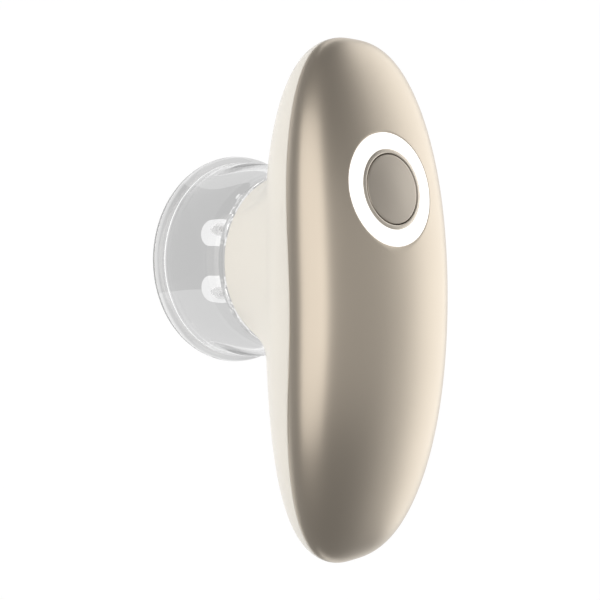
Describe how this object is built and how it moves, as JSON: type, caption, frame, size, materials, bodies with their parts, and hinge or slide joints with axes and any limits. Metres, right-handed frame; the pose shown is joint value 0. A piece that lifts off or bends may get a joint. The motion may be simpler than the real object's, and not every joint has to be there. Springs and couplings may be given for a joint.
{
  "type": "vacuum cellulite massager",
  "caption": "Cordless handheld suction massager: arched body with a light-ringed power button, and a clear cup around metal pins on its neck.",
  "frame": {"origin": "middle of the bounding box, on the plane of the cup's mouth", "axes": "+X along the body from the power button to the charging socket; +Y across the body, towards the release valve; +Z from the cup's mouth towards the front cover"},
  "size_m": [0.165, 0.073, 0.0795],
  "materials": {
    "pearl_white": "pearl white moulded plastic, high gloss",
    "champagne": "metallic champagne paint on moulded plastic, satin gloss",
    "ring_white": "opal white light guide",
    "bezel_champagne": "pale champagne plating on plastic",
    "button_champagne": "satin metallic paint",
    "clear_plastic": "clear polished plastic",
    "pin_chrome": "polished chrome",
    "plate_grey": "fine matt",
    "white_plastic": "matt",
    "dark_plastic": "matt",
    "board_green": "solder mask",
    "led_yellow": "resin",
    "chip_black": "moulded resin",
    "screw_steel": "zinc plated",
    "cell_wrap": "foil pouch",
    "foam_grey": "closed-cell foam",
    "rubber_black": "soft",
    "silicone_clear": "translucent silicone",
    "motor_steel": "plated sheet steel",
    "magnet_grey": "ferrite",
    "filter_felt": "felt",
    "socket_steel": "bright sheet steel"
  },
  "bodies": {
    "housing": {"rear_housing": "pearl_white", "front_cover": "champagne", "light_ring": "ring_white", "button_bezel": "bezel_champagne", "light_carrier": "white_plastic", "ring_board": "board_green", "ring_lights": "led_yellow", "button_switch": "dark_plastic", "ring_board_screws": "screw_steel", "main_board": "board_green", "board_components": "chip_black", "main_board_screws": "screw_steel", "battery": "cell_wrap", "battery_pad": "foam_grey", "pump_head": "dark_plastic", "pump_diaphragm": "rubber_black", "pump_crankcase": "dark_plastic", "pump_screws": "screw_steel", "motor_can": "motor_steel", "motor_end_cap": "dark_plastic", "motor_magnets": "magnet_grey", "motor_sleeve": "rubber_black", "release_valve": "dark_plastic", "suction_tube": "silicone_clear", "release_tube": "silicone_clear", "pin_plate": "plate_grey", "massage_pins": "pin_chrome", "pin_washers": "screw_steel", "air_filter": "filter_felt", "plate_gasket": "rubber_black", "plate_screws": "screw_steel", "cup_seal_ring": "rubber_black", "charging_board": "board_green", "charging_socket": "socket_steel", "charging_board_screws": "screw_steel", "housing_screws": "screw_steel", "screw_caps": "pearl_white"},
    "power_button": {"power_button": "button_champagne", "switch_plunger": "dark_plastic"},
    "suction_cup": {"suction_cup": "clear_plastic"},
    "motor_rotor": {"motor_rotor": "motor_steel", "pump_crank": "white_plastic"},
    "valve_plunger": {"valve_plunger": "motor_steel"}
  },
  "joints": [
    {"name": "button_press", "type": "slide", "parent": "housing", "child": "power_button", "axis": [0.1528, 0, -0.9883], "range_m": [0, 0.0005], "stiffness_N_per_m": 2200, "springref_m": -0.0004},
    {"name": "cup_pull", "type": "slide", "parent": "housing", "child": "suction_cup", "axis": [0, 0, -1], "range_m": [0, 0.012]},
    {"name": "motor_spin", "type": "hinge", "parent": "housing", "child": "motor_rotor", "pos_m": [0.03, 0, 0.056], "axis": [1, 0, 0], "continuous": true},
    {"name": "valve_stroke", "type": "slide", "parent": "housing", "child": "valve_plunger", "axis": [1, 0, 0], "range_m": [0, 0.0012], "stiffness_N_per_m": 300, "springref_m": -0.001}
  ]
}
